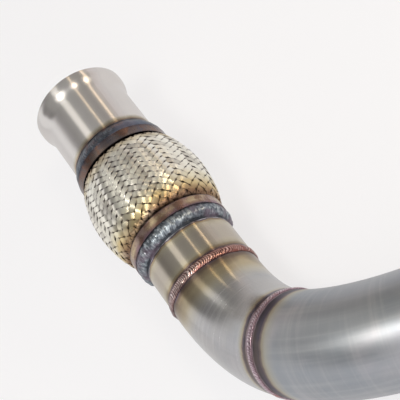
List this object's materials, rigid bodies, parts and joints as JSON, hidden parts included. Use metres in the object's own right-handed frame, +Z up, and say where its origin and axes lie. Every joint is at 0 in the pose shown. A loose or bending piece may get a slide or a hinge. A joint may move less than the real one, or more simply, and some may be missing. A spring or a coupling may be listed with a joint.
{
  "type": "exhaust connecting pipe",
  "caption": "Exhaust connecting pipe with a flared inlet, a braided flexible coupling and two welded mandrel bends.",
  "frame": {"origin": "middle of the footprint's bounding box, on the floor that the pipe lies on", "axes": "+X along the straight run as seen from above, from the flared inlet towards the bends, +Y to the side that the outlet turns to, +Z up"},
  "size_m": [0.3694, 0.2198, 0.0902],
  "materials": {
    "polished_tube": "polished",
    "satin_tube": "satin",
    "ferrule": "satin with heat tint",
    "braid": "woven wire",
    "spring_steel": "bright",
    "weld": "rough weld metal with blue heat tint",
    "copper_weld": "rippled, copper-coloured"
  },
  "bodies": {
    "pipe": {"outlet_ferrule": "ferrule", "outlet_weld": "weld", "stub_tube": "polished_tube", "stub_weld": "copper_weld", "first_bend": "satin_tube", "bend_weld": "copper_weld", "second_bend": "satin_tube"},
    "coupling_core": {"liner": "spring_steel", "bellows": "spring_steel"},
    "coupling_sleeve": {"braid_sleeve": "braid"},
    "inlet": {"flared_inlet": "polished_tube", "inlet_weld": "weld", "inlet_ferrule": "ferrule"}
  },
  "joints": [
    {"name": "coupling_tilt", "type": "hinge", "parent": "pipe", "child": "coupling_core", "pos_m": [-0.0763, -0.06737, 0.04291], "axis": [0, 1, 0], "range_deg": [-8, 8], "stiffness_Nm_per_rad": 40, "deforming": ["braid_sleeve", "bellows", "liner"]},
    {"name": "coupling_swing", "type": "hinge", "parent": "coupling_core", "child": "coupling_sleeve", "pos_m": [-0.0763, -0.06737, 0.04291], "axis": [0.1195, 0, 0.9928], "range_deg": [-8, 8], "stiffness_Nm_per_rad": 40, "deforming": ["braid_sleeve", "bellows", "liner"]},
    {"name": "coupling_stretch", "type": "slide", "parent": "coupling_sleeve", "child": "inlet", "axis": [-0.9928, 0, 0.1195], "range_m": [-0.004, 0.004], "stiffness_N_per_m": 20000, "deforming": ["braid_sleeve", "bellows", "liner"]}
  ]
}
